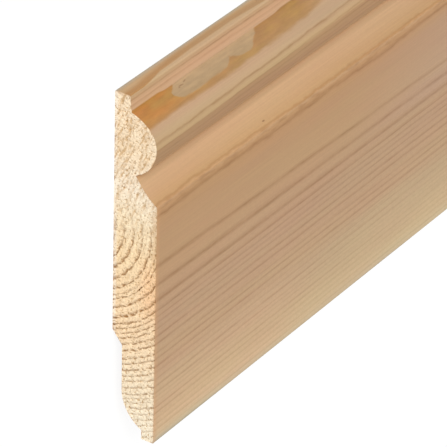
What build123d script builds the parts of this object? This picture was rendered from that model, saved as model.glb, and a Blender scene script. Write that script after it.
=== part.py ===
"""Reversible pine skirting board: one planed length with a torus moulding on the front and an ovolo on the back.

The board lies on its back face. X runs along its length, Y across its width with the torus edge at +Y,
and Z through its thickness. The origin is under the middle of the board. Sizes are in millimetres.
"""
import os

from build123d import *

# The planed size that a sawn board of 25 by 150 mm gives, in a stock length
LENGTH = 2400.0
WIDTH = 144.0
THICKNESS = 19.0

# Torus edge, on the front. Drops are measured down the face from the top edge, depths up from the back face.
TOP_EDGE = 6.7          # width of the top edge
TOP_EASING = 0.7        # radius worn on its outer corner
BEAD_START_DROP = 6.8   # foot of the fillet below it, where the bead starts
BEAD_START_DEPTH = 7.3  # the fillet leans out a little on its way down
BEAD_NOSE_DROP = 19.0   # fullest point of the bead
BEAD_NOSE_DEPTH = 18.3  # the nose stands just under the front face
BEAD_NOSE_RADIUS = 11.0
BEAD_NOSE_TURN = 45.0   # degrees of that radius above the nose, before the bead flattens towards the fillet
QUIRK_DROP = 31.9       # root of the groove below the bead
QUIRK_DEPTH = 9.5       # wood left behind that root
ARRIS_DROP = 42.3       # where the splay below the groove meets the flat front face
SPLAY_HOLLOW = 0.8      # how far that splay is dished

# Ovolo edge, on the back. Heights are measured up the face from the bottom edge.
TOE_DEPTH = 13.5        # the bottom edge is the rest of the thickness
TOE_STEP = 4.0          # square step above the bottom edge
OVOLO_TOP = 18.9        # where the round runs out into the sunk flat
RECESS_DEPTH = 4.4      # sunk flat, measured from the back face
RECESS_TOP = 37.9       # end of the sunk flat
SHOULDER_TOP = 43.6     # end of the slope that climbs to the back face


def place(height, depth):
    """A point of the section: height above the bottom edge, depth above the back face."""
    return height - WIDTH / 2, depth


def below_top(drop, depth):
    """The same, with the height given as a drop from the top edge."""
    return place(WIDTH - drop, depth)


def torus_edge():
    """Lines from the top of the back face, round the bead, to the arris of the front face."""
    top_back = below_top(0, 0)
    top_corner = below_top(0, TOP_EDGE - TOP_EASING)
    fillet_top = below_top(TOP_EASING, TOP_EDGE)
    bead_start = below_top(BEAD_START_DROP, BEAD_START_DEPTH)
    nose = below_top(BEAD_NOSE_DROP, BEAD_NOSE_DEPTH)
    quirk = below_top(QUIRK_DROP, QUIRK_DEPTH)
    arris = below_top(ARRIS_DROP, THICKNESS)

    Line(top_back, top_corner)
    RadiusArc(top_corner, fillet_top, -TOP_EASING)
    Line(fillet_top, bead_start)
    nose_arc = JernArc(nose, (1, 0), BEAD_NOSE_RADIUS, -BEAD_NOSE_TURN)
    TangentArc(nose_arc @ 1, bead_start, tangent=nose_arc % 1)
    TangentArc(nose, quirk, tangent=(-1, 0))
    SagittaArc(quirk, arris, SPLAY_HOLLOW)


def ovolo_edge():
    """Lines from the bottom edge, up the round on the back, to the foot of the back face."""
    toe_front = place(0, THICKNESS)
    toe_back = place(0, TOE_DEPTH)
    step_top = place(TOE_STEP, TOE_DEPTH)
    ovolo_top = place(OVOLO_TOP, RECESS_DEPTH)
    recess_top = place(RECESS_TOP, RECESS_DEPTH)
    shoulder_top = place(SHOULDER_TOP, 0)

    Polyline(toe_front, toe_back, step_top)
    TangentArc(ovolo_top, step_top, tangent=(-1, 0))
    Polyline(ovolo_top, recess_top, shoulder_top)


def skirting_board():
    """The whole board: its section, run along the length between two square sawn ends."""
    with BuildPart() as board:
        with BuildSketch(Plane.YZ.offset(-LENGTH / 2)):
            with BuildLine():
                torus_edge()
                Line(below_top(ARRIS_DROP, THICKNESS), place(0, THICKNESS))
                ovolo_edge()
                Line(place(SHOULDER_TOP, 0), below_top(0, 0))
            make_face()
        extrude(amount=LENGTH)
    return board.part


os.makedirs("parts", exist_ok=True)
export_step(skirting_board(), "parts/skirting_board.step")
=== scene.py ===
"""Reversible pine skirting board, lying on its back face: planed torus moulding, sawn ends, growth rings.

The wood's figure comes from one field of growth rings, which the planed faces and the sawn ends both cut
through, so each dark line on a face runs on into its ring on the end. Four things are laid over it: the brown
stain on the bead with the pale lens in it, brown blotches along the arris, the wavy band along the top edge and
a few small specks.
"""
import math

import bpy
import numpy as np
from mathutils import Matrix, Vector


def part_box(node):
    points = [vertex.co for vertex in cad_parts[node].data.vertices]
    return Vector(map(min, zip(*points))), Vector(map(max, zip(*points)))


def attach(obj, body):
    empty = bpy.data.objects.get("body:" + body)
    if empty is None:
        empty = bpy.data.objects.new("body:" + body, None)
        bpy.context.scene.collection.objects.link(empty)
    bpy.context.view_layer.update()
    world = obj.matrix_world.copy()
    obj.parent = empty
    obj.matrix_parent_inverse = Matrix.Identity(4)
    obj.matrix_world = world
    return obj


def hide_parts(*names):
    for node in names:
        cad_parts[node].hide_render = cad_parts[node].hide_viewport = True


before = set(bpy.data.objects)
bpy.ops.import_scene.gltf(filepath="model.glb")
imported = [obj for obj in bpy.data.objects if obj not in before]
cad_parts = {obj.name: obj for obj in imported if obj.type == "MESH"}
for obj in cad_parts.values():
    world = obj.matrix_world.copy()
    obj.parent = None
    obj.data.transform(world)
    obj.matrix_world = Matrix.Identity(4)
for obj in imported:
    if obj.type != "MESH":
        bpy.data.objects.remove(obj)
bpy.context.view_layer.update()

MM = 0.001
NODE = "skirting_board"
low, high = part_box(NODE)
LENGTH = (high.x - low.x) / MM
WIDTH = (high.y - low.y) / MM
THICKNESS = (high.z - low.z) / MM
NEAR_END = low.x / MM

# The section, in millimetres, as the solid has it
TOP_EDGE = 6.7
TOP_EASING = 0.7
BEAD_START = WIDTH - 6.8
BEAD_START_DEPTH = 7.3
BEAD_NOSE = WIDTH - 19.0
BEAD_NOSE_DEPTH = 18.3
BEAD_NOSE_RADIUS = 11.0
BEAD_NOSE_TURN = math.radians(45)
QUIRK = WIDTH - 31.9
QUIRK_DEPTH = 9.5
ARRIS = WIDTH - 42.3
SPLAY_HOLLOW = 0.8
TOE_DEPTH = 13.5
TOE_STEP = 4.0
OVOLO_TOP = 18.9
RECESS_DEPTH = 4.4
RECESS_TOP = 37.9
SHOULDER_TOP = 43.6
SHARP_EASING = 0.3  # what planing leaves on a square arris


def span(start, end, first=0.0, last=1.0):
    """Inputs of a range: a value from start to end becomes one from first to last."""
    return {1: start, 2: end, 3: first, 4: last}


SMOOTH = {"interpolation_type": "SMOOTHSTEP"}  # for a range that starts and ends softly
EVEN = {"interpolation_type": "LINEAR"}

# The tree: where its pith lies behind the back face, and how it leans along the board
PITH_DEPTH = -14.3
PITH_HEIGHT = 87.85
LEAN = 1.8  # sway of the pith in depth, over LEAN_LENGTH
LEAN_LENGTH = 2300.0
BOW = -3.4  # sway of the inner rings in height, over BOW_LENGTH
BOW_LENGTH = 1500.0
BOW_SHOWN = span(35.0, 42.0, BOW, 0.0)  # by radius
RISE = 1.25  # sway of the rings that cut the bead, over RISE_LENGTH
RISE_LENGTH = 480.0
RISE_SHOWN = span(53.0, 56.0, -RISE, 0.0)  # by radius
ABOVE_PITH = span(14.0, 34.0)  # by height over the pith, where the rings stand closer together
CLOSER = 0.032  # how much closer, as a share of the radius
OUTER_CLOSER = span(49.0, 54.0, 0.0, 1.2)  # and in millimetres, by radius

# Waviness of the rings: size along the board and across it, detail, seed, height of the wave,
# and whether it is kept to the upper part of the board
RING_WAVES = (
    (240.0, 32.0, 2.0, 0.0, 0.7, False),
    (38.0, 9.0, 2.0, 0.0, 0.5, False),
    (20.0, 9.0, 3.0, 14.0, 0.9, True),
    (5.0, 5.0, 2.0, 17.0, 0.5, True),
)
UPPER_PART = (90.0, 96.0)  # by height
CRUMPLES = (3.5, 3.5, 2.0, 1.0)  # of the ragged rings on a sawn end, in the same order

# How the tree grew: a radius in millimetres, the years it took from the radius before,
# and how dark the summer wood of those years is
GROWTH = (
    (31.0, 8, 0.9),
    (33.5, 1, 0.0),
    (34.9, 1, 0.9),
    (38.4, 1, 0.9),
    (42.3, 1, 0.95),
    (45.1, 1, 0.85),
    (50.8, 3, 0.6),
    (55.9, 2, 0.75),
    (59.2, 1, 0.45),
    (61.2, 1, 0.75),
    (64.0, 1, 0.75),
    (68.6, 2, 0.4),
    (74.1, 2, 0.6),
    (77.4, 2, 0.35),
    (82.1, 2, 0.6),
    (91.3, 4, 0.35),
    (96.0, 2, 0.4),
)
STRENGTH_LAG = 0.5  # millimetres past a radius where the next strength starts

# How dark each part of a year's growth is, on a planed face and on a sawn end
PLANED_YEAR = ((0.0, 0.8), (0.13, 0.0), (0.58, 0.0), (0.8, 0.4), (0.93, 0.95), (1.0, 0.8))
SAWN_YEAR = ((0.0, 0.75), (0.06, 0.0), (0.64, 0.0), (0.82, 0.6), (0.93, 1.0), (1.0, 0.8))

# Tones of the planed wood up the flat face, by height, from pale sapwood to honey heartwood
FACE_TONES = (
    (0.0, "#aea793"),
    (1.5, "#c8b494"),
    (4.5, "#cdb18e"),
    (9.0, "#c9ab88"),
    (27.0, "#be9f7f"),
    (35.0, "#b99978"),
    (53.0, "#b59476"),
    (74.0, "#b4916c"),
    (92.0, "#b18c66"),
    (100.4, "#b58c60"),
)

# Tones over the moulding, by girth: the distance down from the top edge plus the depth from the back
MOULDING_TONES = (
    (0.0, "#a09a8c"),  # greyed back arris
    (1.0, "#ad9a80"),
    (2.2, "#b8976f"),
    (6.5, "#ba9e7b"),  # top edge
    (7.4, "#ba9974"),
    (10.5, "#c8a17f"),  # fillet
    (13.7, "#c6a484"),
    (14.5, "#b49474"),  # bead
    (28.0, "#b39375"),
    (31.0, "#b69978"),
    (36.9, "#b99a71"),
    # Painted shade: the darker tones from here to the root of the quirk stand for the shade under the bead's nose
    (37.7, "#aa855e"),  # underside of the nose
    (39.5, "#aa855d"),
    (41.7, "#b0875f"),
    (43.0, "#c29a6f"),
    (44.2, "#c39f79"),  # root of the quirk
    (46.0, "#c2a07a"),
    # The splay's tones are lighter partly for its wood and partly as painted light, for the lamp it faces
    (47.2, "#c6a37e"),  # splay
    (53.0, "#c19d77"),
    (59.0, "#bc976d"),
    (59.9, "#ae875c"),
    (60.3, "#ae875c"),
    # Painted highlight along the arris
    (61.3, "#bf9871"),  # arris
    (62.6, "#b58c60"),  # face just below it
)

# How much of the ring lines shows over the moulding, by girth
MOULDING_LINES = ((0.0, 0.0), (7.4, 0.0), (7.6, 0.8), (8.6, 1.15), (12.9, 1.0), (13.3, 0.0), (30.0, 0.0),
                  (31.5, 1.2), (34.5, 1.25), (37.0, 1.0), (43.0, 0.4), (44.5, 0.0), (61.3, 0.0), (62.6, 1.0))

# The figure on the bead and the top edge, as distance along the board and girth
STAIN_FOOT = ((0, 26.0), (14, 26.2), (30, 25.6), (50, 26.8), (75, 25.8), (90, 25.2), (107, 24.2), (125, 22.0),
              (150, 15))
LENS_HEAD = ((0, 30.0), (21.0, 30.0), (21.4, 18.2), (23.5, 16.2), (25.8, 14.0), (26.4, 12.0), (79.0, 12.0),
             (150, 12.0))
LENS_FOOT = ((0, 13.0), (20.8, 13.0), (21.4, 18.6), (22.8, 21.0), (25.0, 22.5), (37.5, 23.4), (47, 23.0),
             (53.0, 23.0), (57.2, 18.6), (61.5, 21.2), (64.5, 22.0), (68.5, 22.2), (70.2, 21.5), (73.0, 19.0),
             (79.4, 13.8), (80.0, 12.5), (150, 12.5))
BAND_HEAD = ((0, 3.6), (8, 3.6), (16, 2.8), (30, 1.9), (62, 1.1), (84, 2.2), (110, 2.2), (150, 1.6))
BAND_FOOT = ((0, 7.7), (7, 7.5), (13, 6.6), (22, 5.0), (45, 4.5), (68, 4.5), (82, 5.4), (96, 6.2), (115, 5.2),
             (150, 3.8))

# How far the shade under the nose has sunk, along the board
SAG = ((0, 0.0), (35, 0.0), (60, 0.7), (105, 0.8), (160, 1.5))


def linear(code):
    """An sRGB hex colour as linear RGBA."""
    channels = [int(code[i:i + 2], 16) / 255 for i in (1, 3, 5)]
    return [c / 12.92 if c <= 0.04045 else ((c + 0.055) / 1.055) ** 2.4 for c in channels] + [1.0]


def add(tree, kind, inputs=None, output=0, **settings):
    """Adds a node, sets or links its inputs, and returns one of its outputs, if it has any."""
    node = tree.nodes.new(kind)
    for name, value in settings.items():
        setattr(node, name, value)
    for key, value in (inputs or {}).items():
        if isinstance(value, bpy.types.NodeSocket):
            tree.links.new(value, node.inputs[key])
        else:
            node.inputs[key].default_value = value
    return node.outputs[output] if node.outputs else None


def product(tree, first, *others):
    """The product of several values."""
    for value in others:
        first = add(tree, "ShaderNodeMath", {0: first, 1: value}, operation="MULTIPLY")
    return first


def greatest(tree, first, *others):
    """The greatest of several values."""
    for value in others:
        first = add(tree, "ShaderNodeMath", {0: first, 1: value}, operation="MAXIMUM")
    return first


def distance(tree, x, y):
    """How far a place is from the one where both of its coordinates are nought."""
    place = add(tree, "ShaderNodeCombineXYZ", {0: x, 1: y})
    return add(tree, "ShaderNodeVectorMath", {0: place}, output="Value", operation="LENGTH")


def in_scene(name, data):
    """A new object in the scene."""
    thing = bpy.data.objects.new(name, data)
    bpy.context.scene.collection.objects.link(thing)
    return thing


# Camera

PHOTO_SIZE = 447  # pixels each way
FOCAL_PIXELS = 4319.4  # a long lens, as the nearly parallel edges show
CAMERA_RIGHT = Vector((0.5569, 0.0228, 0.8303))
CAMERA_UP = Vector((0.4174, 0.8566, -0.3035))
CAMERA_PLACE = Vector((-2301.1, 824.2, 764.5)) * MM
SENSOR_WIDTH = 36.0


def make_camera():
    """The camera that took the photograph, as its perspective gives it."""
    data = bpy.data.cameras.new("camera")
    data.sensor_width = SENSOR_WIDTH
    data.lens = FOCAL_PIXELS / PHOTO_SIZE * data.sensor_width
    data.clip_start = 0.05
    data.clip_end = 200.0
    camera = in_scene("camera", data)
    right = CAMERA_RIGHT.normalized()
    up = (CAMERA_UP - right * CAMERA_UP.dot(right)).normalized()
    turn = Matrix((right, up, right.cross(up))).transposed()
    camera.matrix_world = Matrix.Translation(CAMERA_PLACE) @ turn.to_4x4()
    bpy.context.scene.camera = camera


# Section and mesh

def arc_radius(run, rise):
    """Radius of an arc that starts along the rise and ends run across and rise up."""
    return (run * run + rise * rise) / (2 * run)


def arc_out(height, centre, radius):
    """How far from its centre's line an arc lies at a height."""
    return math.sqrt(max(0.0, radius ** 2 - (height - centre) ** 2))


def eased_corner(inwards, radius):
    """How far a rounded corner lies inside its square one, so far in from its edge."""
    return radius - arc_out(inwards, radius, radius) if inwards < radius else 0.0


def crown_arc():
    """Where the bead's nose arc ends, and the radius and centre of the flatter arc from there to the fillet."""
    out_height, out_depth = math.sin(BEAD_NOSE_TURN), math.cos(BEAD_NOSE_TURN)
    height = BEAD_NOSE + BEAD_NOSE_RADIUS * out_height
    depth = BEAD_NOSE_DEPTH - BEAD_NOSE_RADIUS + BEAD_NOSE_RADIUS * out_depth
    run, rise = BEAD_START - height, BEAD_START_DEPTH - depth
    radius = -(run * run + rise * rise) / (2 * (run * out_height + rise * out_depth))
    return height, radius, height - radius * out_height, depth - radius * out_depth


CROWN, CROWN_RADIUS, CROWN_HEIGHT, CROWN_DEPTH = crown_arc()
LOWER_RADIUS = arc_radius(BEAD_NOSE_DEPTH - QUIRK_DEPTH, BEAD_NOSE - QUIRK)
OVOLO_RADIUS = arc_radius(TOE_DEPTH - RECESS_DEPTH, OVOLO_TOP - TOE_STEP)


def splay_depth(height):
    """The dished splay between the quirk and the arris of the front face."""
    run, rise = THICKNESS - QUIRK_DEPTH, QUIRK - ARRIS
    chord = math.hypot(run, rise)
    radius = (chord ** 2 / 4 + SPLAY_HOLLOW ** 2) / (2 * SPLAY_HOLLOW)
    middle_depth, middle_height = (QUIRK_DEPTH + THICKNESS) / 2, (QUIRK + ARRIS) / 2
    out = radius - SPLAY_HOLLOW
    centre_depth = middle_depth + out * rise / chord
    centre_height = middle_height + out * run / chord
    return centre_depth - arc_out(height, centre_height, radius)


def front_depth(height):
    """Depth of the moulded front above the back face's plane, at a height on the section."""
    if height <= ARRIS:
        return THICKNESS - eased_corner(height, SHARP_EASING)
    if height <= QUIRK:
        return min(THICKNESS, splay_depth(height))
    if height <= CROWN:
        radius = LOWER_RADIUS if height <= BEAD_NOSE else BEAD_NOSE_RADIUS
        return BEAD_NOSE_DEPTH - radius + arc_out(height, BEAD_NOSE, radius)
    if height <= BEAD_START:
        return CROWN_DEPTH + arc_out(height, CROWN_HEIGHT, CROWN_RADIUS)
    lean = max(0.0, WIDTH - TOP_EASING - height) / (WIDTH - TOP_EASING - BEAD_START)
    return TOP_EDGE + lean * (BEAD_START_DEPTH - TOP_EDGE) - eased_corner(WIDTH - height, TOP_EASING)


def back_depth(height):
    """Depth of the back, which is sunk below its plane at the ovolo edge."""
    if height <= TOE_STEP:
        return TOE_DEPTH + eased_corner(height, SHARP_EASING)
    if height <= OVOLO_TOP:
        return RECESS_DEPTH + OVOLO_RADIUS - arc_out(height, OVOLO_TOP, OVOLO_RADIUS)
    if height <= RECESS_TOP:
        return RECESS_DEPTH
    if height <= SHOULDER_TOP:
        return RECESS_DEPTH * (SHOULDER_TOP - height) / (SHOULDER_TOP - RECESS_TOP)
    return eased_corner(WIDTH - height, SHARP_EASING)


def even_steps(start, end, pitch):
    """Values from start up to, but not including, end, no further apart than pitch."""
    count = max(1, math.ceil((end - start) / pitch - 1e-9))
    return [start + (end - start) * i / count for i in range(count)]


def arc_steps(centre, radius, start, end, pitch):
    """Heights evenly spaced round an arc whose centre is at a given height."""
    first, last = (math.asin(max(-1.0, min(1.0, (h - centre) / radius))) for h in (start, end))
    return [centre + radius * math.sin(a) for a in even_steps(first, last, pitch / radius)]


ROW_PITCH = 0.45  # between mesh rows on the mouldings
FLAT_PITCH = 0.5  # and on the flat of the face
EASED_PITCH = 0.12  # on the eased arris
TOP_EASED_PITCH = 0.15
ACROSS = 42  # mesh cells through the thickness of an end


def section_rows():
    """Heights of the mesh rows, from the bottom edge to the top edge, a row at every corner."""
    rows = arc_steps(SHARP_EASING, SHARP_EASING, 0.0, SHARP_EASING, EASED_PITCH)
    rows += even_steps(SHARP_EASING, TOE_STEP, ROW_PITCH)
    rows += arc_steps(OVOLO_TOP, OVOLO_RADIUS, TOE_STEP, OVOLO_TOP, ROW_PITCH)
    rows += even_steps(OVOLO_TOP, RECESS_TOP, FLAT_PITCH)
    rows += even_steps(RECESS_TOP, SHOULDER_TOP, ROW_PITCH)
    rows += even_steps(SHOULDER_TOP, ARRIS, FLAT_PITCH)
    rows += even_steps(ARRIS, QUIRK, ROW_PITCH)
    rows += arc_steps(BEAD_NOSE, LOWER_RADIUS, QUIRK, BEAD_NOSE, ROW_PITCH)
    rows += arc_steps(BEAD_NOSE, BEAD_NOSE_RADIUS, BEAD_NOSE, CROWN, ROW_PITCH)
    rows += arc_steps(CROWN_HEIGHT, CROWN_RADIUS, CROWN, BEAD_START, ROW_PITCH)
    rows += even_steps(BEAD_START, WIDTH - TOP_EASING, ROW_PITCH)
    rows += arc_steps(WIDTH - TOP_EASING, TOP_EASING, WIDTH - TOP_EASING, WIDTH, TOP_EASED_PITCH)
    return rows + [WIDTH]


END_STEPS = (0.0, 0.3, 0.8, 1.6, 2.8, 4.5, 7.0, 10.0, 15.0, 24.0)  # stations near an end
STATION_PITCH = 68.0  # and between the others


def stations():
    """Places along the board where the section is repeated, closer together near the sawn ends."""
    last = END_STEPS[-1]
    middle = even_steps(last, LENGTH - last, STATION_PITCH)
    return list(END_STEPS[:-1]) + middle + [LENGTH - s for s in reversed(END_STEPS)]


# The board's own map: the front and top edge in one strip, the back in another, then the ends.
# The first part of the length has more of the map, because the near end is seen closest.
NEAR_REACH = 120.0
NEAR_SHARE = 0.3
MAP_EDGE = 0.01
FRONT_STRIP = (MAP_EDGE, 0.47)
BACK_STRIP = (0.485, 0.675)
NEAR_CAP = (0.69, 0.82)
FAR_CAP = (0.835, 0.965)
CAP_SCALE = (NEAR_CAP[1] - NEAR_CAP[0]) / THICKNESS


def along_share(along):
    """Where a distance along the board falls on its map."""
    if along < NEAR_REACH:
        return MAP_EDGE + NEAR_SHARE * along / NEAR_REACH
    far_share = 1.0 - 2 * MAP_EDGE - NEAR_SHARE
    return MAP_EDGE + NEAR_SHARE + far_share * (along - NEAR_REACH) / (LENGTH - NEAR_REACH)


def board_mesh():
    """A closed mesh of the board: the section's outline at every station, and a grid over each end."""
    rows = section_rows()
    count = len(rows)
    share = np.linspace(0.0, 1.0, ACROSS + 1)
    back = np.array([back_depth(h) for h in rows])[:, None]
    front = np.array([front_depth(h) for h in rows])[:, None]
    depth = back + (front - back) * share
    height = np.repeat(np.array(rows)[:, None], ACROSS + 1, axis=1)
    outline = [(r, ACROSS) for r in range(count)]
    outline += [(count - 1, c) for c in range(ACROSS - 1, 0, -1)]
    outline += [(r, 0) for r in range(count - 1, -1, -1)]
    outline += [(0, c) for c in range(1, ACROSS)]
    ring_rows, ring_columns = (np.array(values) for values in zip(*outline))

    def layer(along, at_rows, at_columns):
        across = height[at_rows, at_columns] - WIDTH / 2
        up = depth[at_rows, at_columns]
        return np.stack([np.full(across.shape, NEAR_END + along), across, up], axis=-1).reshape(-1, 3)

    along = stations()
    every_row, every_column = np.indices(depth.shape)
    per_end, per_ring = depth.size, len(outline)
    points = [layer(0.0, every_row, every_column)]
    points += [layer(a, ring_rows, ring_columns) for a in along[1:-1]]
    points += [layer(along[-1], every_row, every_column)]
    grid = np.arange(per_end).reshape(depth.shape)
    far = grid + per_end + per_ring * (len(along) - 2)

    def corners(a, b, c, d):
        return np.stack([a, b, c, d], axis=-1).reshape(-1, 4)

    def near_cells(table):
        return corners(table[:-1, :-1], table[:-1, 1:], table[1:, 1:], table[1:, :-1])

    def far_cells(table):
        return corners(table[:-1, :-1], table[1:, :-1], table[1:, 1:], table[:-1, 1:])

    rings = [grid[ring_rows, ring_columns]]
    rings += [per_end + per_ring * i + np.arange(per_ring) for i in range(len(along) - 2)]
    rings += [far[ring_rows, ring_columns]]
    side_faces = [corners(a, b, np.roll(b, -1), np.roll(a, -1)) for a, b in zip(rings, rings[1:])]
    faces = np.concatenate([near_cells(grid), far_cells(far)] + side_faces)

    ring_heights, ring_depths = height[ring_rows, ring_columns], depth[ring_rows, ring_columns]
    steps = np.hypot(np.roll(ring_heights, -1) - ring_heights, np.roll(ring_depths, -1) - ring_depths)
    girth = np.concatenate([[0.0], np.cumsum(steps)])
    turn = count - 1 + ACROSS
    on_front = np.arange(per_ring) < turn
    front_part, back_part = girth / girth[turn], (girth - girth[turn]) / (girth[-1] - girth[turn])
    front_v = FRONT_STRIP[0] + (FRONT_STRIP[1] - FRONT_STRIP[0]) * front_part
    back_v = BACK_STRIP[0] + (BACK_STRIP[1] - BACK_STRIP[0]) * back_part
    start_v = np.where(on_front, front_v[:-1], back_v[:-1])
    end_v = np.where(on_front, front_v[1:], back_v[1:])
    places = [along_share(a) for a in along]
    map_u = [near_cells(MAP_EDGE + height * CAP_SCALE), far_cells(MAP_EDGE + height * CAP_SCALE)]
    map_v = [near_cells(NEAR_CAP[0] + depth * CAP_SCALE), far_cells(FAR_CAP[0] + depth * CAP_SCALE)]
    for a, b in zip(places, places[1:]):
        map_u.append(np.tile([a, b, b, a], (per_ring, 1)))
        map_v.append(np.stack([start_v, start_v, end_v, end_v], axis=-1))
    corner_places = np.stack([np.concatenate(map_u), np.concatenate(map_v)], axis=-1)

    mesh = bpy.data.meshes.new("skirting_board_blank")
    mesh.from_pydata(np.concatenate(points) * MM, [], faces.tolist())
    mesh.uv_layers.new(name="OFBake").data.foreach_set("uv", corner_places.ravel())
    sawn = mesh.attributes.new("sawn", "BOOLEAN", "FACE")
    sawn.data.foreach_set("value", np.arange(len(faces)) < 2 * (count - 1) * ACROSS)
    mesh.update()
    return mesh


# The wood's own field

def drawn(tree, value, points):
    """A value read from a line drawn through points, such as the years grown at each radius."""
    reach, tall = points[-1][0], max(y for x, y in points)
    share = add(tree, "ShaderNodeMapRange", {0: value, 2: reach})
    line = add(tree, "ShaderNodeFloatCurve", {"Value": share})
    curve = line.node.mapping.curves[0]
    curve.points[0].location = (points[0][0] / reach, points[0][1] / tall)
    curve.points[1].location = (1.0, points[-1][1] / tall)
    for x, y in points[1:-1]:
        curve.points.new(x / reach, y / tall)
    for point in curve.points:
        point.handle_type = "VECTOR"
    line.node.mapping.update()
    return product(tree, line, tall)


def toned(tree, value, tones, interpolation="LINEAR"):
    """A colour, or a share of 0 to 1, read from tones given by position."""
    reach = tones[-1][0]
    share = add(tree, "ShaderNodeMath", {0: value, 1: reach}, operation="DIVIDE")
    ramp = add(tree, "ShaderNodeValToRGB", {0: share})
    stops = ramp.node.color_ramp
    stops.interpolation = interpolation
    stops.elements[1].position = 1.0
    for position, tone in tones[1:-1]:
        stops.elements.new(position / reach)
    for stop, (position, tone) in zip(stops.elements, tones):
        stop.color = linear(tone) if isinstance(tone, str) else (tone, tone, tone, 1.0)
    return ramp


SEED_STEP = (1.0, 1.7, 0.6)  # how far apart in the noise two seeds lie


def uneven(tree, field, along, across, detail, seed):
    """A value from 0 to 1 that wanders through the wood, its size in millimetres along the board and across it."""
    sizes, start = (1 / along, 1 / across, 1 / across), tuple(step * seed for step in SEED_STEP)
    place = add(tree, "ShaderNodeVectorMath", {0: field["local"], 1: sizes, 2: start}, operation="MULTIPLY_ADD")
    return add(tree, "ShaderNodeTexNoise", {"Vector": place, "Scale": 1.0, "Detail": detail})


def swaying(tree, along, length, wave):
    """A wave along the board, from -1 to 1."""
    return add(tree, "ShaderNodeMath", {0: product(tree, along, math.tau / length)}, operation=wave)


def ring_field(tree, place, crumpled=0.0):
    """The wood's own coordinates at a place: millimetres along, up and through the board, and years grown."""
    scaled = add(tree, "ShaderNodeVectorMath", {0: place, 1: (1 / MM,) * 3}, operation="MULTIPLY")
    local = add(tree, "ShaderNodeVectorMath", {0: scaled, 1: (-NEAR_END, WIDTH / 2, 0)})
    field = {"local": local}
    parts = add(tree, "ShaderNodeSeparateXYZ", {0: local}).node.outputs
    along, height, depth = parts[0], parts[1], parts[2]

    lean = swaying(tree, along, LEAN_LENGTH, "SINE")
    pith_depth = add(tree, "ShaderNodeMath", {0: lean, 1: LEAN, 2: PITH_DEPTH}, operation="MULTIPLY_ADD")
    out = add(tree, "ShaderNodeMath", {0: depth, 1: pith_depth}, operation="SUBTRACT")
    up = add(tree, "ShaderNodeMath", {0: height, 1: PITH_HEIGHT}, operation="SUBTRACT")
    shown = add(tree, "ShaderNodeMapRange", {0: distance(tree, out, up), **BOW_SHOWN}, **SMOOTH)
    bow = product(tree, swaying(tree, along, BOW_LENGTH, "SINE"), shown)
    up = add(tree, "ShaderNodeMath", {0: up, 1: bow}, operation="SUBTRACT")
    radius = distance(tree, out, up)

    # Above the pith the rings stand a little closer together, and those that cut the bead rise along the board
    above = add(tree, "ShaderNodeMapRange", {0: up, **ABOVE_PITH}, **SMOOTH)
    outer = add(tree, "ShaderNodeMapRange", {0: radius, **OUTER_CLOSER})
    closer = add(tree, "ShaderNodeMath", {0: radius, 1: CLOSER, 2: outer}, operation="MULTIPLY_ADD")
    rise = swaying(tree, along, RISE_LENGTH, "COSINE")
    rise = add(tree, "ShaderNodeMath", {0: 1.0, 1: rise}, operation="SUBTRACT")
    shown = add(tree, "ShaderNodeMapRange", {0: radius, **RISE_SHOWN})
    closer = add(tree, "ShaderNodeMath", {0: rise, 1: shown, 2: closer}, operation="MULTIPLY_ADD")
    radius = add(tree, "ShaderNodeMath", {0: closer, 1: above, 2: radius}, operation="MULTIPLY_ADD")
    waves = list(RING_WAVES)
    if crumpled:
        waves.append((*CRUMPLES, crumpled, False))
    for along_size, across_size, detail, seed, size, kept_up in waves:
        wave = uneven(tree, field, along_size, across_size, detail, seed)
        wave = add(tree, "ShaderNodeMath", {0: wave, 1: 0.5}, operation="SUBTRACT")
        if kept_up:
            size = add(tree, "ShaderNodeMapRange", {0: height, **span(*UPPER_PART, 0.0, size)})
        radius = add(tree, "ShaderNodeMath", {0: wave, 1: size, 2: radius}, operation="MULTIPLY_ADD")

    angle = add(tree, "ShaderNodeMath", {0: up, 1: out}, operation="ARCTAN2")
    grown, age, strengths, before = 0, [(0.0, 0.0)], [], 0.0
    for reached, years, dark in GROWTH:
        grown += years
        age.append((reached, grown))
        strengths.append((before, dark))
        before = reached + STRENGTH_LAG
    years = drawn(tree, radius, age)
    fraction = add(tree, "ShaderNodeMath", {0: years}, operation="FRACT")
    strength = toned(tree, radius, strengths + [(GROWTH[-1][0], GROWTH[-1][2])], "CONSTANT")
    field.update(along=along, height=height, depth=depth, radius=radius, fraction=fraction, strength=strength)
    field["arc"] = product(tree, angle, radius)
    return field


def summer_wood(tree, field, year):
    """How much of a place is dark summer wood."""
    return product(tree, toned(tree, field["fraction"], year), field["strength"])


# Materials

WHITE = (1.0, 1.0, 1.0, 1.0)

# Streaks of fibre and torn grain: size along the board and across it, detail and seed. A real fibre is 0.04 mm
# wide, too fine to show, so they are drawn coarser.
FIBRE = (45.0, 0.55, 3.0, 9.0)
TORN_GRAIN = (1.0, 0.5, 3.0, 4.0)

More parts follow.
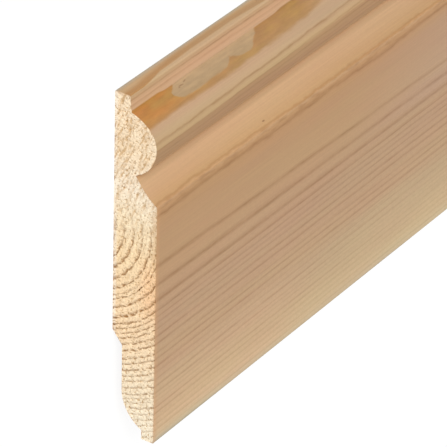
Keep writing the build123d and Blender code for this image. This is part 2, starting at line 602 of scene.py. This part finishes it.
# What varies in the wood: size along the board and across it, detail, seed, and a span of the noise
# with what it becomes
PATCHES = {
    "drift": (90.0, 7.0, 2.0, 0.0, span(0.3, 0.7, -1.2, 1.2)),  # of the face's tones, in millimetres
    "shiver": (30.0, 6.0, 2.0, 6.0, span(0.3, 0.7, -0.4, 0.4)),  # of the moulding's tones and the band
    "jagged": (4.5, 3.0, 3.0, 13.0, span(0.3, 0.7, -0.5, 0.5)),
    "ragged": (9.0, 2.5, 3.0, 5.0, span(0.25, 0.75, -0.9, 0.9)),  # of the edges of the stain
    # The brown rim on the end is partly painted shade
    "wobble": (5.0, 3.0, 2.0, 16.0, span(0.3, 0.7, -0.9, 0.9)),  # of the brown rim on the end
    "redder": (60.0, 9.0, 2.0, 3.0, span(0.35, 0.65)),  # share of one of two tints
    "olive": (16.0, 4.0, 3.0, 12.0, span(0.5, 0.68, 0.0, 0.55)),  # shares of two other browns in the stain
    "rust": (16.0, 4.0, 3.0, 12.0, span(0.45, 0.3, 0.0, 0.5)),
    "blots": (7.0, 1.6, 3.0, 18.0, span(0.48, 0.66, 0.0, 0.5)),  # along the arris
    "cloud": (8.0, 1.8, 3.0, 7.0, span(0.3, 0.7, 0.9, 1.09)),  # lightness of the stain
    "streaks": (*FIBRE, span(0.3, 0.7, 0.955, 1.045)),  # lightness of the planed wood
    "fuzz": (0.8, 0.65, 3.0, 2.0, span(0.3, 0.7, 0.81, 1.11)),  # lightness of the sawn end
    "fine": (1.2, 0.8, 2.0, 11.0, span(0.3, 0.7, -1.0, 1.0)),  # times FINE_SHARE, the same
    "broad": (16.0, 2.5, 3.0, 8.0, span(0.3, 0.7, 0.6, 1.25)),  # strength of the ring lines
    "ticks": (5.0, 0.7, 3.0, 15.0, span(0.3, 0.7, 0.7, 1.3)),
}
SHIVER_AT_ARRIS = 2.0  # times the shiver
SHIVER_OF_BAND = 0.6

# The moulding's tones, with their painted arris highlight, start just below the arris
MOULDING_FOOT = ARRIS - 1.3  # height where the moulding's tones start
FRONT_DEPTH = 5.9  # above that height, whatever is deeper than this is on the front
TOP_SKIN = 0.4  # and so is what is this close to the top edge
GREY_STOP = span(18.6, 17.8, 0.0, 4.5)  # least height that the face's tones are read at, by depth

# Parts of the moulding by girth, with the softness of their edges where it isn't the usual one
RAGGED_ARRIS = (54.0, 70.0)
# Where the painted shade under the nose moves along the board
SAGGING = (35.0, 41.0, 1.0)
BLOTTED = (60.6, 64.6, 0.8)

# The lower face darkens a little along the board
DIMMING = span(50.0, 130.0)
DIMMED = span(75.0, 50.0)  # by height
DIM_SHARE = 0.1

# Other tints that come in along the board: the way there, whether the part is given by height on the face or
# by girth on the moulding, that part with its softness, and the tint
LATER_TINTS = (
    (span(60.0, 130.0), SMOOTH, "height", (4.0, 30.0, 6.0), (0.955, 1.015, 1.0, 1.0)),  # greener foot
    (span(120.0, 215.0), SMOOTH, "height", (62.0, 97.0, 5.0), (1.0, 1.04, 1.25, 1.0)),  # bluer top
    (span(50.0, 180.0), EVEN, "girth", (44.5, 60.0, 0.3), (0.93, 0.95, 0.96, 1.0)),  # darker splay
    (span(75.0, 110.0), EVEN, "girth", (24.0, 31.0, 1.5), (0.94, 0.99, 1.0, 1.0)),  # greyer nose
)

# The stain, the lens and the band. Edges are by the girth inside them, the rest by distance along the board.
STAIN_EDGE = span(-1.6, 1.3)
STAIN_RIM = span(4.5, 1.0, 0.0, 0.45)
STAIN_FADE = span(105.0, 150.0, 1.0, 0.0)
STAIN_GREYS = span(5.0, 60.0)
STAIN_LOWER = (19.0, 95.0, 3.0)  # where its head is lower on the bead
STAIN_HEAD = span(0.0, 1.0, 13.3, 14.1)  # girth of its head, elsewhere and there
STAIN_END = 31.0  # and the girth that it never passes
LENS_EDGE = span(-0.8, 0.7)
# The lens is paler up the bead and darker down it
LENS_DOWN_BEAD = span(14.0, 22.0)  # by girth
BAND_FOOT_EDGE = span(-0.3, 0.5)
BAND_HEAD_EDGE = span(-1.2, 1.6)
BAND_SHARE = 0.95

# Changes in the strength of the ring lines along the board, each on a part of the face by height
LATER_LINES = span(90.0, 190.0)
FAINTER_LINES = (((10.0, 26.0, 4.0), 0.45), ((57.0, 82.0, 4.0), 0.78))
STRONGER_NEAR = span(120.0, 40.0)
STRONGER_LOW = span(15.0, 10.0)
STRONGER = 1.25
LINE_TINT = (0.72, 0.63, 0.52, 1.0)

# Specks, as distance along the board, girth, length, width and slant, with how dark they are: one on the splay,
# then the broken tick in the lens
SPECKS = (
    (73.0, 57.05, 1.7, 0.9, 0.0, 0.7),
    (28.4, 16.9, 3.0, 0.9, 0.1, 0.5),
    (31.4, 16.0, 2.2, 0.75, -0.3, 0.5),
    (26.8, 17.4, 1.3, 0.7, 0.0, 0.5),
)
SPECK_EDGE = span(1.25, 0.6)  # as a share of the speck's own reach

CUT_WARMTH = span(3.0, 0.6, 0.0, 0.35)  # just behind the saw cut
FINE_SHARE = span(82.0, 62.0, 0.02, 0.045)  # rougher down the face, by height


def varied(tree, field, name):
    """What one of the patches is at a place."""
    *pattern, spread = PATCHES[name]
    return add(tree, "ShaderNodeMapRange", {0: uneven(tree, field, *pattern), **spread})


def between(tree, value, start, end, soft=0.3, edge=None):
    """1 where a value lies between two others, with edges this soft, or with an edge of its own."""
    first = add(tree, "ShaderNodeMath", {0: value, 1: start}, operation="SUBTRACT")
    last = add(tree, "ShaderNodeMath", {0: end, 1: value}, operation="SUBTRACT")
    inside = add(tree, "ShaderNodeMath", {0: first, 1: last}, operation="MINIMUM")
    return add(tree, "ShaderNodeMapRange", {0: inside, **(edge or span(-soft, soft))}, **SMOOTH)


def mixed(tree, share, under, over):
    """One colour laid over another."""
    under = linear(under) if isinstance(under, str) else under
    over = linear(over) if isinstance(over, str) else over
    return add(tree, "ShaderNodeMix", {0: share, 6: under, 7: over}, output=2, data_type="RGBA")


def tinted(tree, body, tint):
    """A colour multiplied by a tint or a lightness."""
    return add(tree, "ShaderNodeVectorMath", {0: body, 1: tint}, operation="MULTIPLY")


def new_finish(name):
    """An empty material, and its node tree."""
    material = bpy.data.materials.new(name)
    material.use_nodes = True
    material.node_tree.nodes.clear()
    return material, material.node_tree


def speck(tree, field, along, across, long, wide, lean, dark):
    """A small dark mark on the planed wood, given by its place, size and slant."""
    right = add(tree, "ShaderNodeMath", {0: field["along"], 1: along}, operation="SUBTRACT")
    down = add(tree, "ShaderNodeMath", {0: field["girth"], 1: across}, operation="SUBTRACT")
    down = add(tree, "ShaderNodeMath", {0: right, 1: -lean, 2: down}, operation="MULTIPLY_ADD")
    reach = distance(tree, product(tree, right, 2 / long), product(tree, down, 2 / wide))
    inside = add(tree, "ShaderNodeMapRange", {0: reach, **SPECK_EDGE}, **SMOOTH)
    return product(tree, inside, dark)


def add_section(tree, field):
    """Adds to the wood's coordinates the girth over the moulding, and which part of the section a place is on."""
    height, depth = field["height"], field["depth"]
    girth = add(tree, "ShaderNodeMath", {0: depth, 1: height}, operation="SUBTRACT")
    above = add(tree, "ShaderNodeMath", {0: height, 1: MOULDING_FOOT}, operation="GREATER_THAN")
    deep = add(tree, "ShaderNodeMath", {0: depth, 1: FRONT_DEPTH}, operation="GREATER_THAN")
    field["girth"] = add(tree, "ShaderNodeMath", {0: girth, 1: WIDTH})
    field["top"] = add(tree, "ShaderNodeMath", {0: height, 1: WIDTH - TOP_SKIN}, operation="GREATER_THAN")
    field["front"] = greatest(tree, deep, field["top"])
    field["moulded"] = product(tree, above, field["front"])
    field["shiver"] = varied(tree, field, "shiver")
    field["greying"] = add(tree, "ShaderNodeMapRange", {0: field["along"], **STAIN_GREYS}, **SMOOTH)


def wood_tones(tree, field):
    """The planed wood's colour up the flat face and over the moulding, without its lines."""
    height, along, girth = field["height"], field["along"], field["girth"]
    tone_height = add(tree, "ShaderNodeMath", {0: varied(tree, field, "drift"), 1: height})
    # The grey of the bottom arris stops short of the bottom edge itself
    least = add(tree, "ShaderNodeMapRange", {0: field["depth"], **GREY_STOP})
    face = toned(tree, greatest(tree, tone_height, least), FACE_TONES)
    wander = add(tree, "ShaderNodeMath", {0: field["shiver"], 1: SHIVER_AT_ARRIS, 2: varied(tree, field, "jagged")},
                 operation="MULTIPLY_ADD")
    wandering = between(tree, girth, *RAGGED_ARRIS)
    tone_girth = add(tree, "ShaderNodeMath", {0: wander, 1: wandering, 2: girth}, operation="MULTIPLY_ADD")
    # The painted shade under the nose moves along the board
    sag = product(tree, drawn(tree, along, SAG), between(tree, girth, *SAGGING))
    field["tone_girth"] = add(tree, "ShaderNodeMath", {0: tone_girth, 1: sag})
    moulding = toned(tree, field["tone_girth"], MOULDING_TONES)
    body = mixed(tree, field["moulded"], face, moulding)

    dim = add(tree, "ShaderNodeMapRange", {0: along, **DIMMING}, **SMOOTH)
    lower = add(tree, "ShaderNodeMapRange", {0: height, **DIMMED})
    body = mixed(tree, product(tree, dim, lower, DIM_SHARE), body, "#a08464")
    for way, pace, measure, part, tint in LATER_TINTS:
        later = add(tree, "ShaderNodeMapRange", {0: along, **way}, **pace)
        here = between(tree, field[measure], *part)
        if measure == "girth":
            here = product(tree, here, field["moulded"])
        body = tinted(tree, body, mixed(tree, product(tree, later, here), WHITE, tint))
    # Soft patches, a little redder or yellower than the wood round them
    return tinted(tree, body, mixed(tree, varied(tree, field, "redder"), "#fff8f2", "#fffdf4"))


def stained(tree, field, body):
    """The wood with the brown stain on the bead, and the pale lens in it."""
    along = field["along"]
    girth = add(tree, "ShaderNodeMath", {0: field["girth"], 1: varied(tree, field, "ragged")})
    inside = add(tree, "ShaderNodeMath", {0: drawn(tree, along, STAIN_FOOT), 1: girth}, operation="SUBTRACT")
    edge = add(tree, "ShaderNodeMapRange", {0: inside, **STAIN_EDGE}, **SMOOTH)
    rim = add(tree, "ShaderNodeMapRange", {0: inside, **STAIN_RIM})
    fading = add(tree, "ShaderNodeMapRange", {0: along, **STAIN_FADE})
    head = add(tree, "ShaderNodeMapRange", {0: between(tree, along, *STAIN_LOWER), **STAIN_HEAD})
    bead = between(tree, field["girth"], head, STAIN_END)
    stain = mixed(tree, field["greying"], "#ad7535", "#a07647")
    stain = mixed(tree, varied(tree, field, "olive"), stain, "#a3803f")
    stain = mixed(tree, varied(tree, field, "rust"), stain, "#b4763c")
    stain = mixed(tree, rim, stain, "#9a784a")

    head, foot = drawn(tree, along, LENS_HEAD), drawn(tree, along, LENS_FOOT)
    lens = between(tree, girth, head, foot, edge=LENS_EDGE)
    lens_down_bead = add(tree, "ShaderNodeMapRange", {0: field["girth"], **LENS_DOWN_BEAD})
    stain = mixed(tree, lens, stain, mixed(tree, lens_down_bead, "#b39671", "#a18560"))
    stain = tinted(tree, stain, varied(tree, field, "cloud"))
    return mixed(tree, product(tree, edge, fading, bead, field["moulded"]), body, stain)


def lined(tree, field, body):
    """The wood with its ring lines, which the stain hides on the bead."""
    along, height = field["along"], field["height"]
    lines = drawn(tree, field["girth"], MOULDING_LINES)
    lines = add(tree, "ShaderNodeMix", {0: field["moulded"], 2: 1.0, 3: lines}, data_type="FLOAT")
    dark = product(tree, summer_wood(tree, field, PLANED_YEAR), lines, varied(tree, field, "broad"),
                   varied(tree, field, "ticks"))
    later = add(tree, "ShaderNodeMapRange", {0: along, **LATER_LINES})
    near = add(tree, "ShaderNodeMapRange", {0: along, **STRONGER_NEAR})
    lowest = add(tree, "ShaderNodeMapRange", {0: height, **STRONGER_LOW})
    changes = [(product(tree, later, between(tree, height, *part)), times) for part, times in FAINTER_LINES]
    for place, times in changes + [(product(tree, near, lowest), STRONGER)]:
        change = add(tree, "ShaderNodeMapRange", {0: place, **span(0.0, 1.0, 1.0, times)})
        dark = product(tree, dark, change)
    return tinted(tree, body, mixed(tree, dark, WHITE, LINE_TINT))


def marked(tree, field, body):
    """The wood with blotches along the arris, the band along the top edge, specks, and warmth at the saw cut."""
    along = field["along"]
    beside = between(tree, field["tone_girth"], *BLOTTED)
    blots = product(tree, varied(tree, field, "blots"), beside, field["front"])
    body = mixed(tree, blots, body, "#9c7044")

    wavy = add(tree, "ShaderNodeMath", {0: field["shiver"], 1: SHIVER_OF_BAND, 2: field["girth"]},
               operation="MULTIPLY_ADD")
    inside = add(tree, "ShaderNodeMath", {0: drawn(tree, along, BAND_FOOT), 1: wavy}, operation="SUBTRACT")
    foot = add(tree, "ShaderNodeMapRange", {0: inside, **BAND_FOOT_EDGE}, **SMOOTH)
    inside = add(tree, "ShaderNodeMath", {0: wavy, 1: drawn(tree, along, BAND_HEAD)}, operation="SUBTRACT")
    head = add(tree, "ShaderNodeMapRange", {0: inside, **BAND_HEAD_EDGE}, **SMOOTH)
    band = product(tree, foot, head, field["top"], BAND_SHARE)
    body = mixed(tree, band, body, mixed(tree, field["greying"], "#a77843", "#a57e51"))

    specks = greatest(tree, *[speck(tree, field, *spot) for spot in SPECKS])
    body = mixed(tree, product(tree, specks, field["moulded"]), body, "#76512f")

    cut = add(tree, "ShaderNodeMapRange", {0: along, **CUT_WARMTH})
    below = add(tree, "ShaderNodeMath", {0: field["height"], 1: ARRIS}, operation="LESS_THAN")
    return mixed(tree, product(tree, cut, below), body, "#cf9a6a")


def planed_pine():
    """Planed Scots pine: matt honey wood paling to cream sapwood, with soft brown lines and a stain on the bead."""
    material, tree = new_finish("planed Scots pine")
    field = ring_field(tree, add(tree, "ShaderNodeTexCoord", output="Object"))
    add_section(tree, field)
    body = wood_tones(tree, field)
    body = stained(tree, field, body)
    body = lined(tree, field, body)
    body = marked(tree, field, body)

    rougher = add(tree, "ShaderNodeMapRange", {0: field["height"], **FINE_SHARE})
    fine = add(tree, "ShaderNodeMath", {0: varied(tree, field, "fine"), 1: rougher, 2: 1.0},
               operation="MULTIPLY_ADD")
    body = tinted(tree, body, product(tree, varied(tree, field, "streaks"), fine))
    fibre = uneven(tree, field, *FIBRE)
    bump = add(tree, "ShaderNodeBump", {"Strength": 0.35, "Distance": 0.06 * MM, "Height": fibre})
    shader = add(tree, "ShaderNodeBsdfPrincipled", {"Base Color": body, "Roughness": 0.62, "Normal": bump})
    add(tree, "ShaderNodeOutputMaterial", {"Surface": shader})
    return material


# Tones of the sawn end, by height, and how much its rings show there as dashes
END_TONES = (
    (0.0, "#f8ebd1"),
    (25.0, "#f8e4c4"),
    (45.0, "#f8dab3"),
    (78.0, "#f8dcb2"),
    (92.0, "#f7e3c1"),
    (106.0, "#f8e8d0"),
    (120.0, "#f8e1c0"),
    (144.0, "#f8e1c1"),
)
END_LINES = ((0.0, 0.5), (14.0, 0.78), (27.0, 0.97), (45.0, 1.08), (80.0, 1.0), (88.0, 0.6), (94.0, 0.15),
             (98.0, 0.05), (118.0, 0.1), (144.0, 0.3))
END_CRUMPLE = 1.6  # how ragged the saw left the rings, in millimetres

# What the saw left: length and width of the marks in millimetres, detail, and a span of the noise with how
# much of it shows
DASH_BREAKS = (1.7, 1.0, 2.0, span(0.36, 0.56, 0.08, 1.0))
SAW_ROWS = (9.0, 1.4, 1.0, span(0.42, 0.6))
ROW_BREAKS = (3.0, 0.9, 1.0, span(0.42, 0.62, 0.25, 1.0))
SAW_SLANT = math.radians(-24)  # of the rows, from the height towards the front
PITS_PER_MM = 1.05
PITS = span(0.62, 0.72)
DASH_STRENGTH = span(0.2, 0.9, 0.6, 1.0)  # by the strength of the ring

# The end's warmer and browner parts, by depth and by height
WARM_DEPTH = span(9.0, 16.0)
WARM_HEIGHT = (54.0, 76.0, 7.0)
WARM_TINT = (1.0, 0.87, 0.8, 1.0)
# Painted shade: the brown rim beside the top of the face
RIM_DEPTH = span(15.8, 17.8)
RIM_HEIGHT = (76.0, 101.5, 3.0)
RIM_SHARE = 0.36
FACE_RIM = span(18.3, 18.9, 0.0, 0.42)
TOP_RIM = span(143.0, 143.7, 0.0, 0.35)
BACK_RIM = span(1.7, 0.9, 0.0, 0.6)
STROKES_SHOWN = span(80.0, 110.0, 0.2, 0.74)  # by height
PITS_SHOWN = 0.7
DASHES_SHOWN = 0.9
DASH_DENT = -0.8  # how far a dash lies below the torn grain, as a share of its bump


def torn(tree, place, long, wide, detail, shown):
    """Marks on the sawn end, longer one way than the other, as a share of 0 to 1."""
    sized = add(tree, "ShaderNodeVectorMath", {0: place, 1: (1 / long, 1 / wide, 0)}, operation="MULTIPLY")
    cells = add(tree, "ShaderNodeTexNoise", {"Vector": sized, "Scale": 1.0, "Detail": detail},
                noise_dimensions="2D")
    return add(tree, "ShaderNodeMapRange", {0: cells, **shown})


def end_marks(tree, field):
    """What the saw left on an end: dashes of summer wood, small dark pits and slanting strokes, each 0 to 1."""
    part = toned(tree, field["fraction"], SAWN_YEAR)
    strong = add(tree, "ShaderNodeMapRange", {0: field["strength"], **DASH_STRENGTH})
    round_rings = add(tree, "ShaderNodeCombineXYZ", {0: field["arc"], 1: field["radius"]})
    broken = torn(tree, round_rings, *DASH_BREAKS)
    dashes = product(tree, part, strong, broken, drawn(tree, field["height"], END_LINES))

    flat = add(tree, "ShaderNodeCombineXYZ", {0: field["height"], 1: field["depth"]})
    dotted = add(tree, "ShaderNodeTexNoise", {"Vector": flat, "Scale": PITS_PER_MM, "Detail": 1.0},
                 noise_dimensions="2D")
    pits = add(tree, "ShaderNodeMapRange", {0: dotted, **PITS})

    slanted = add(tree, "ShaderNodeVectorRotate", {"Vector": flat, "Angle": SAW_SLANT}, rotation_type="Z_AXIS")
    strokes = product(tree, torn(tree, slanted, *SAW_ROWS), torn(tree, slanted, *ROW_BREAKS))
    return dashes, pits, strokes


def rim_brown_and_painted_shade(tree, field):
    """How brown the sawn end is at its rim: most beside the top of the face, where the brown is painted shade, and
    a little at the top edge.
    """
    depth = add(tree, "ShaderNodeMath", {0: field["depth"], 1: varied(tree, field, "wobble")})
    inner = add(tree, "ShaderNodeMapRange", {0: depth, **RIM_DEPTH}, **SMOOTH)
    beside = product(tree, inner, between(tree, field["height"], *RIM_HEIGHT), RIM_SHARE)
    outer = add(tree, "ShaderNodeMapRange", {0: field["depth"], **FACE_RIM})
    top = add(tree, "ShaderNodeMapRange", {0: field["height"], **TOP_RIM})
    return greatest(tree, beside, outer, top)


def sawn_end_grain():
    """Sawn pine end grain: pale cream and rough, with brown dashes of summer wood, pits and saw strokes."""
    material, tree = new_finish("sawn pine end grain")
    field = ring_field(tree, add(tree, "ShaderNodeTexCoord", output="Object"), END_CRUMPLE)
    dashes, pits, strokes = end_marks(tree, field)
    body = tinted(tree, toned(tree, field["height"], END_TONES), varied(tree, field, "fuzz"))
    inner = add(tree, "ShaderNodeMapRange", {0: field["depth"], **WARM_DEPTH}, **SMOOTH)
    warm = product(tree, inner, between(tree, field["height"], *WARM_HEIGHT))
    body = tinted(tree, body, mixed(tree, warm, WHITE, WARM_TINT))
    # Brown at the rim, painted shade beside the top of the face
    body = mixed(tree, rim_brown_and_painted_shade(tree, field), body, "#b17b40")
    pale = add(tree, "ShaderNodeMapRange", {0: field["depth"], **BACK_RIM})
    body = mixed(tree, pale, body, "#f4ead9")
    shown = add(tree, "ShaderNodeMapRange", {0: field["height"], **STROKES_SHOWN})
    body = mixed(tree, product(tree, strokes, shown), body, "#c49c68")
    body = mixed(tree, product(tree, pits, PITS_SHOWN), body, "#b08a56")
    body = mixed(tree, product(tree, dashes, DASHES_SHOWN), body, "#94632a")
    grain = uneven(tree, field, *TORN_GRAIN)
    grain = add(tree, "ShaderNodeMath", {0: dashes, 1: DASH_DENT, 2: grain}, operation="MULTIPLY_ADD")
    bump = add(tree, "ShaderNodeBump", {"Strength": 0.8, "Distance": 0.4 * MM, "Height": grain})
    shader = add(tree, "ShaderNodeBsdfPrincipled", {"Base Color": body, "Roughness": 0.85, "Normal": bump})
    add(tree, "ShaderNodeOutputMaterial", {"Surface": shader})
    return material


# Relief, in millimetres; every depth is an input of the tree
RELIEF = (
    ("Ridge height", 0.04),
    ("Saw mark depth", 0.25),
    ("Dash depth", 0.3),
    ("Pit depth", 0.3),
    ("Torn fibre depth", 0.5),
    ("Seed", 7.0),
)
TORN_FIBRES = (0, 1 / 1.3, 1 / 1.3)  # per millimetre, along the board, up and through it
END_SKIN = 0.05  # how close to the cut a place counts as on the sawn end


def relief_tree(planed, sawn):
    """Geometry nodes that raise the summer wood on the planed faces and roughen the sawn ends."""
    tree = bpy.data.node_groups.new("planed and sawn relief", "GeometryNodeTree")
    tree.is_modifier = True
    tree.interface.new_socket("Geometry", in_out="INPUT", socket_type="NodeSocketGeometry")
    for name, value in RELIEF:
        socket = tree.interface.new_socket(name, in_out="INPUT", socket_type="NodeSocketFloat")
        socket.default_value = value
    tree.interface.new_socket("Geometry", in_out="OUTPUT", socket_type="NodeSocketGeometry")
    group = tree.nodes.new("NodeGroupInput")
    given = {socket.name: socket for socket in group.outputs}

    place = add(tree, "GeometryNodeInputPosition")
    field = ring_field(tree, place)
    cut_field = ring_field(tree, place, END_CRUMPLE)
    normal = add(tree, "GeometryNodeInputNormal")
    dark = summer_wood(tree, field, PLANED_YEAR)
    low = add(tree, "ShaderNodeMath", {0: 1.0, 1: dark}, operation="SUBTRACT")
    sunk = product(tree, low, given["Ridge height"], -MM)
    side_shift = add(tree, "ShaderNodeVectorMath", {0: normal, 1: sunk}, operation="MULTIPLY")

    from_middle = add(tree, "ShaderNodeMath", {0: field["along"], 1: LENGTH / 2}, operation="SUBTRACT")
    reach = add(tree, "ShaderNodeMath", {0: from_middle}, operation="ABSOLUTE")
    at_end = add(tree, "ShaderNodeMath", {0: reach, 1: LENGTH / 2 - END_SKIN}, operation="GREATER_THAN")
    side = add(tree, "ShaderNodeMath", {0: from_middle}, operation="SIGN")
    dashes, pits, strokes = end_marks(tree, cut_field)
    torn_place = add(tree, "ShaderNodeVectorMath", {0: field["local"], 1: TORN_FIBRES}, operation="MULTIPLY")
    fibre = add(tree, "ShaderNodeTexNoise", {"Vector": torn_place, "W": given["Seed"], "Scale": 1.0,
                                             "Detail": 2.0}, noise_dimensions="4D")
    cut = product(tree, fibre, given["Torn fibre depth"])
    for mark, name in ((strokes, "Saw mark depth"), (dashes, "Dash depth"), (pits, "Pit depth")):
        cut = add(tree, "ShaderNodeMath", {0: mark, 1: given[name], 2: cut}, operation="MULTIPLY_ADD")
    inward = product(tree, cut, side, -MM)
    end_shift = add(tree, "ShaderNodeCombineXYZ", {0: inward})
    shift = add(tree, "ShaderNodeMix", {0: at_end, 4: side_shift, 5: end_shift}, output=1, data_type="VECTOR")
    shaped = add(tree, "GeometryNodeSetPosition", {"Geometry": given["Geometry"], "Offset": shift})
    real = add(tree, "GeometryNodeRealizeInstances", {"Geometry": shaped})
    is_sawn = add(tree, "GeometryNodeInputNamedAttribute", {"Name": "sawn"}, data_type="BOOLEAN")
    faced = add(tree, "GeometryNodeSetMaterial", {"Geometry": real, "Material": planed})
    ended = add(tree, "GeometryNodeSetMaterial", {"Geometry": faced, "Selection": is_sawn, "Material": sawn})
    add(tree, "NodeGroupOutput", {"Geometry": ended})
    return tree


SMOOTH_ANGLE = math.radians(35)  # arrises that turn more than this stay sharp


def make_board():
    """The whole board, as one mesh that rides on the part's only body."""
    planed, sawn = planed_pine(), sawn_end_grain()
    blank = in_scene("blank", board_mesh())
    modifier = blank.modifiers.new("relief", "NODES")
    modifier.node_group = relief_tree(planed, sawn)
    evaluated = blank.evaluated_get(bpy.context.evaluated_depsgraph_get())
    mesh = bpy.data.meshes.new_from_object(evaluated)
    mesh.name = "moulded_board"
    board = in_scene("moulded_board", mesh)
    bpy.data.objects.remove(blank)
    mesh.shade_smooth()
    mesh.set_sharp_from_angle(angle=SMOOTH_ANGLE)
    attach(board, "root")
    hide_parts(NODE)


# Floor and light

FLOOR_REACH = 30.0  # metres to each side
FLOOR_PAINT = (0.8, 0.8, 0.8, 1.0)
FLOOR_GLOW = 1.08  # what an unshadowed floor gives out where the camera sees it
GLOW_SHARE = 0.82  # and how much of the floor that is, the rest being paint that takes the shadow
SKY_LIGHT = 0.56  # with the lamp, this shows a colour about as it is written
KEY_LIGHT = 0.76 * math.pi
KEY_SPREAD = math.radians(35)
KEY_FROM = Vector((-0.55, 0.58, 0.60))


def seen_straight(tree):
    """1 where a place is seen by the camera itself, in a reflection or through glass."""
    paths = add(tree, "ShaderNodeLightPath").node.outputs
    return greatest(tree, paths["Is Camera Ray"], paths["Is Glossy Ray"], paths["Is Transmission Ray"])


def make_floor():
    """A pale floor that the camera sees as white, with the board's soft shadow on it."""
    mesh = bpy.data.meshes.new("floor")
    corners = [(x * FLOOR_REACH, y * FLOOR_REACH, 0) for x, y in ((-1, -1), (1, -1), (1, 1), (-1, 1))]
    mesh.from_pydata(corners, [], [(0, 1, 2, 3)])
    floor = in_scene("floor", mesh)
    material, tree = new_finish("pale floor")
    seen = seen_straight(tree)
    paint = add(tree, "ShaderNodeBsdfDiffuse", {"Color": FLOOR_PAINT})
    glow = add(tree, "ShaderNodeEmission", {"Color": WHITE, "Strength": FLOOR_GLOW})
    lit = add(tree, "ShaderNodeMixShader", {0: GLOW_SHARE, 1: paint, 2: glow})
    shown = add(tree, "ShaderNodeMixShader", {0: seen, 1: paint, 2: lit})
    add(tree, "ShaderNodeOutputMaterial", {"Surface": shown})
    mesh.materials.append(material)


def make_light():
    """Even studio light, with one broad soft lamp from above the moulded edge and the sawn end."""
    world = bpy.data.worlds.new("studio")
    bpy.context.scene.world = world
    world.use_nodes = True
    tree = world.node_tree
    tree.nodes.clear()
    strength = add(tree, "ShaderNodeMapRange", {0: seen_straight(tree), **span(0.0, 1.0, SKY_LIGHT, 1.0)})
    sky = add(tree, "ShaderNodeBackground", {"Color": WHITE, "Strength": strength})
    add(tree, "ShaderNodeOutputWorld", {"Surface": sky})
    data = bpy.data.lights.new("key", "SUN")
    data.energy = KEY_LIGHT
    data.angle = KEY_SPREAD
    key = in_scene("key", data)
    key.rotation_euler = KEY_FROM.to_track_quat("Z", "Y").to_euler()


make_camera()
make_board()
make_floor()
make_light()
bpy.context.scene.view_settings.view_transform = "Standard"
